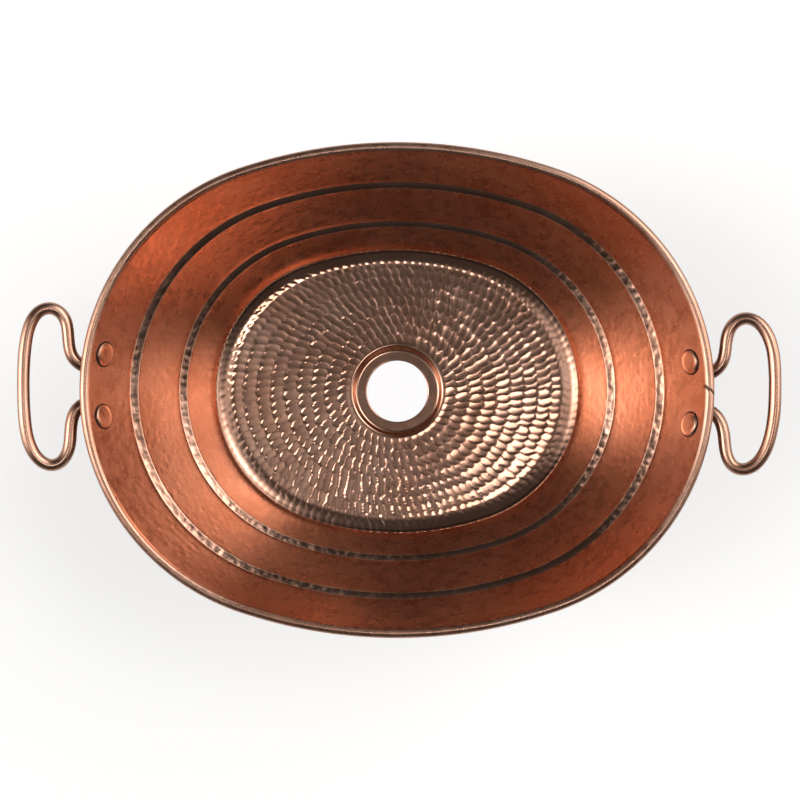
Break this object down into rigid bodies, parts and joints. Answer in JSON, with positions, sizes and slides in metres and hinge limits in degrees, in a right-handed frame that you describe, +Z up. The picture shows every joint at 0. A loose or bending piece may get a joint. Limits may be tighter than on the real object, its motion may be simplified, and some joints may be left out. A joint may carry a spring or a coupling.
{
  "type": "oval hammered copper vessel basin",
  "caption": "Oval hammered copper vessel basin with a stepped, tapered wall, rolled wired rim, recessed drain seat and riveted rod loop handles.",
  "frame": {"origin": "on the drain's axis, at the level of the surface the basin stands on", "axes": "+Z up along the drain's axis; +X along the oval's long axis, through the right-hand handle"},
  "size_m": [0.4902, 0.3174, 0.127],
  "materials": {
    "hammered_copper_wall": "satin copper sheet with fine planishing marks",
    "scale_hammered_copper_floor": "copper sheet with a swirl of overlapping scale-shaped hammer marks, burnished",
    "copper_wire": "drawn copper wire, dull",
    "drawn_copper_rod": "drawn copper rod, hand bent, lightly tarnished",
    "copper_rivet": "copper, flat hammered head"
  },
  "bodies": {
    "root": {"tub_wall": "hammered_copper_wall", "floor_pan": "scale_hammered_copper_floor", "rim_wire": "copper_wire", "handle_left": "drawn_copper_rod", "handle_right": "drawn_copper_rod", "rivet_left_front": "copper_rivet", "rivet_left_back": "copper_rivet", "rivet_right_front": "copper_rivet", "rivet_right_back": "copper_rivet"}
  },
  "joints": []
}
